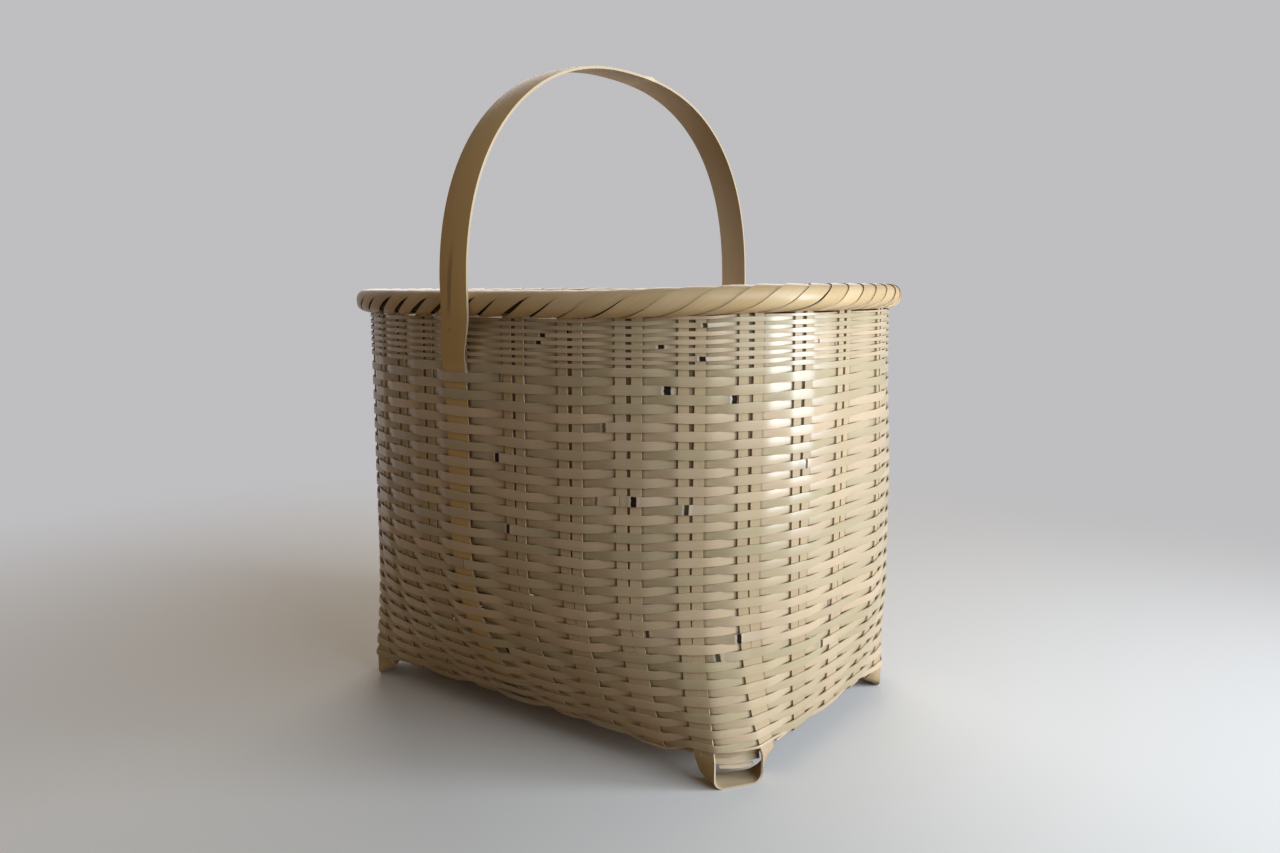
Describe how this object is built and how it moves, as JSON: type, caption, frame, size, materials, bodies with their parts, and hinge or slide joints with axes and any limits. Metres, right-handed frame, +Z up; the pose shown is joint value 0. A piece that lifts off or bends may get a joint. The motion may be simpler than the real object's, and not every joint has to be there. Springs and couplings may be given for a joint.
{
  "type": "bamboo shopping basket",
  "caption": "Hand-woven bamboo shopping basket: plaited rectangular base on looped corner feet, swelling woven walls, a wrapped oval rim and one fixed arched strip handle.",
  "frame": {"origin": "on the ground, at the middle of the footprint, level with the undersides of the four feet", "axes": "+Z up; +X along the long side of the basket; +Y across it, along the handle's span, with the pictured long side facing -Y"},
  "size_m": [0.2827, 0.2518, 0.331],
  "materials": {
    "stake_bamboo": "split bamboo, satin",
    "slat_bamboo": "split bamboo, inner side, matt",
    "weft_bamboo": "split bamboo, skin side, satin",
    "hoop_bamboo": "bamboo core, matt",
    "wrap_bamboo": "split bamboo, skin side, satin",
    "handle_bamboo": "bamboo strip, skin side, satin"
  },
  "bodies": {
    "root": {"cross_stake_1": "stake_bamboo", "cross_stake_2": "stake_bamboo", "cross_stake_3": "stake_bamboo", "cross_stake_middle": "stake_bamboo", "cross_stake_5": "stake_bamboo", "cross_stake_6": "stake_bamboo", "cross_stake_7": "stake_bamboo", "long_stake_front": "stake_bamboo", "long_stake_middle": "stake_bamboo", "long_stake_back": "stake_bamboo", "foot_strip_right_back": "stake_bamboo", "foot_strip_left_back": "stake_bamboo", "foot_strip_left_front": "stake_bamboo", "foot_strip_right_front": "stake_bamboo", "base_end_strip_left": "slat_bamboo", "base_end_strip_right": "slat_bamboo", "base_slat_1": "slat_bamboo", "base_slat_2": "slat_bamboo", "base_slat_3": "slat_bamboo", "base_slat_4": "slat_bamboo", "base_slat_5": "slat_bamboo", "base_slat_6": "slat_bamboo", "base_slat_7": "slat_bamboo", "base_slat_8": "slat_bamboo", "base_slat_9": "slat_bamboo", "base_slat_10": "slat_bamboo", "base_slat_11": "slat_bamboo", "base_slat_12": "slat_bamboo", "weft_a1": "weft_bamboo", "weft_a2": "weft_bamboo", "weft_a3": "weft_bamboo", "weft_a4": "weft_bamboo", "weft_b1": "weft_bamboo", "weft_b2": "weft_bamboo", "weft_b3": "weft_bamboo", "weft_b4": "weft_bamboo", "narrow_weft_a": "weft_bamboo", "narrow_weft_b": "weft_bamboo", "rim_hoop_outer": "hoop_bamboo", "rim_hoop_inner": "hoop_bamboo", "rim_wrap": "wrap_bamboo", "handle": "handle_bamboo"}
  },
  "joints": []
}
